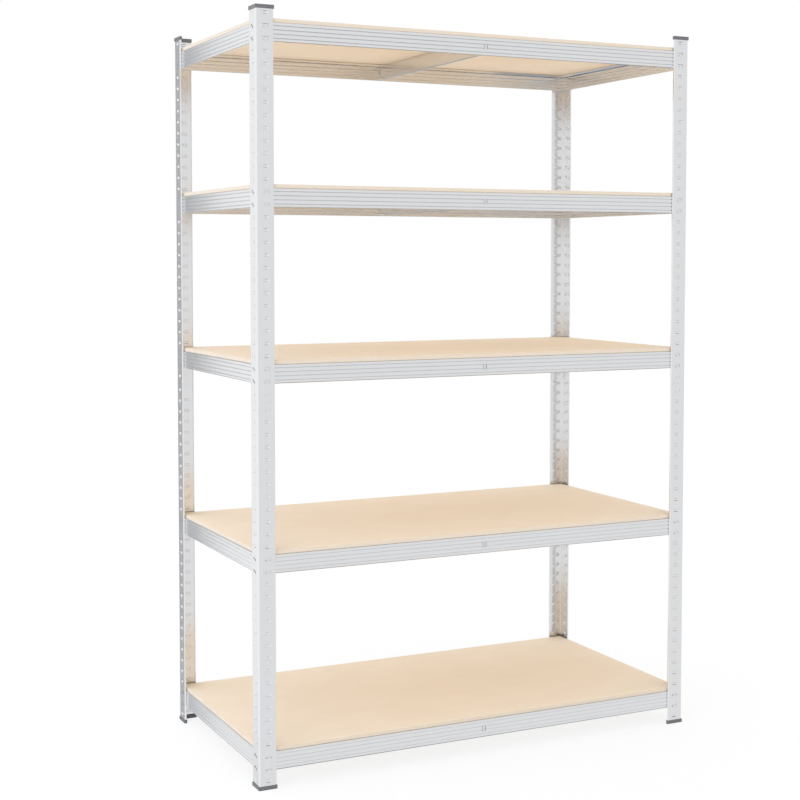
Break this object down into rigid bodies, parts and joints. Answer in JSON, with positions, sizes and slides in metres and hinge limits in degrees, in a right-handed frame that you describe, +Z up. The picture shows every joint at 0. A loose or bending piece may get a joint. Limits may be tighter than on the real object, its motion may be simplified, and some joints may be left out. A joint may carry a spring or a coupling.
{
  "type": "boltless shelving unit",
  "caption": "Free-standing boltless shelving: slotted angle posts in two halves, hook-in ribbed beams, centre bars and loose boards.",
  "frame": {"origin": "on the floor under the middle of the unit", "axes": "+X to the right along the front, +Y to the back, +Z up; the front faces -Y"},
  "size_m": [1.193, 0.606, 1.8018],
  "materials": {
    "steel": "galvanised, satin",
    "board": "raw pressed fibreboard",
    "plastic": "matt moulded"
  },
  "bodies": {
    "frame": {"front_left_post_lower": "steel", "front_left_post_upper": "steel", "front_left_splice": "steel", "front_left_foot": "plastic", "front_left_cap": "plastic", "front_right_post_lower": "steel", "front_right_post_upper": "steel", "front_right_splice": "steel", "front_right_foot": "plastic", "front_right_cap": "plastic", "back_right_post_lower": "steel", "back_right_post_upper": "steel", "back_right_splice": "steel", "back_right_foot": "plastic", "back_right_cap": "plastic", "back_left_post_lower": "steel", "back_left_post_upper": "steel", "back_left_splice": "steel", "back_left_foot": "plastic", "back_left_cap": "plastic", "shelf_1_front_beam": "steel", "shelf_1_right_beam": "steel", "shelf_1_back_beam": "steel", "shelf_1_left_beam": "steel", "shelf_1_centre_bar": "steel", "shelf_2_front_beam": "steel", "shelf_2_right_beam": "steel", "shelf_2_back_beam": "steel", "shelf_2_left_beam": "steel", "shelf_2_centre_bar": "steel", "shelf_3_front_beam": "steel", "shelf_3_right_beam": "steel", "shelf_3_back_beam": "steel", "shelf_3_left_beam": "steel", "shelf_3_centre_bar": "steel", "shelf_4_front_beam": "steel", "shelf_4_right_beam": "steel", "shelf_4_back_beam": "steel", "shelf_4_left_beam": "steel", "shelf_4_centre_bar": "steel", "shelf_5_front_beam": "steel", "shelf_5_right_beam": "steel", "shelf_5_back_beam": "steel", "shelf_5_left_beam": "steel", "shelf_5_centre_bar": "steel"},
    "board_5": {"shelf_5_board": "board"},
    "board_4": {"shelf_4_board": "board"},
    "board_3": {"shelf_3_board": "board"},
    "board_2": {"shelf_2_board": "board"},
    "board_1": {"shelf_1_board": "board"}
  },
  "joints": [
    {"name": "lift_board_5", "type": "slide", "parent": "frame", "child": "board_5", "axis": [0, 0, 1], "range_m": [0, 0.405]},
    {"name": "lift_board_4", "type": "slide", "parent": "frame", "child": "board_4", "axis": [0, 0, 1], "range_m": [0, 0.384]},
    {"name": "lift_board_3", "type": "slide", "parent": "frame", "child": "board_3", "axis": [0, 0, 1], "range_m": [0, 0.348]},
    {"name": "lift_board_2", "type": "slide", "parent": "frame", "child": "board_2", "axis": [0, 0, 1], "range_m": [0, 0.319]},
    {"name": "lift_board_1", "type": "slide", "parent": "frame", "child": "board_1", "axis": [0, 0, 1], "range_m": [0, 0.15]}
  ]
}
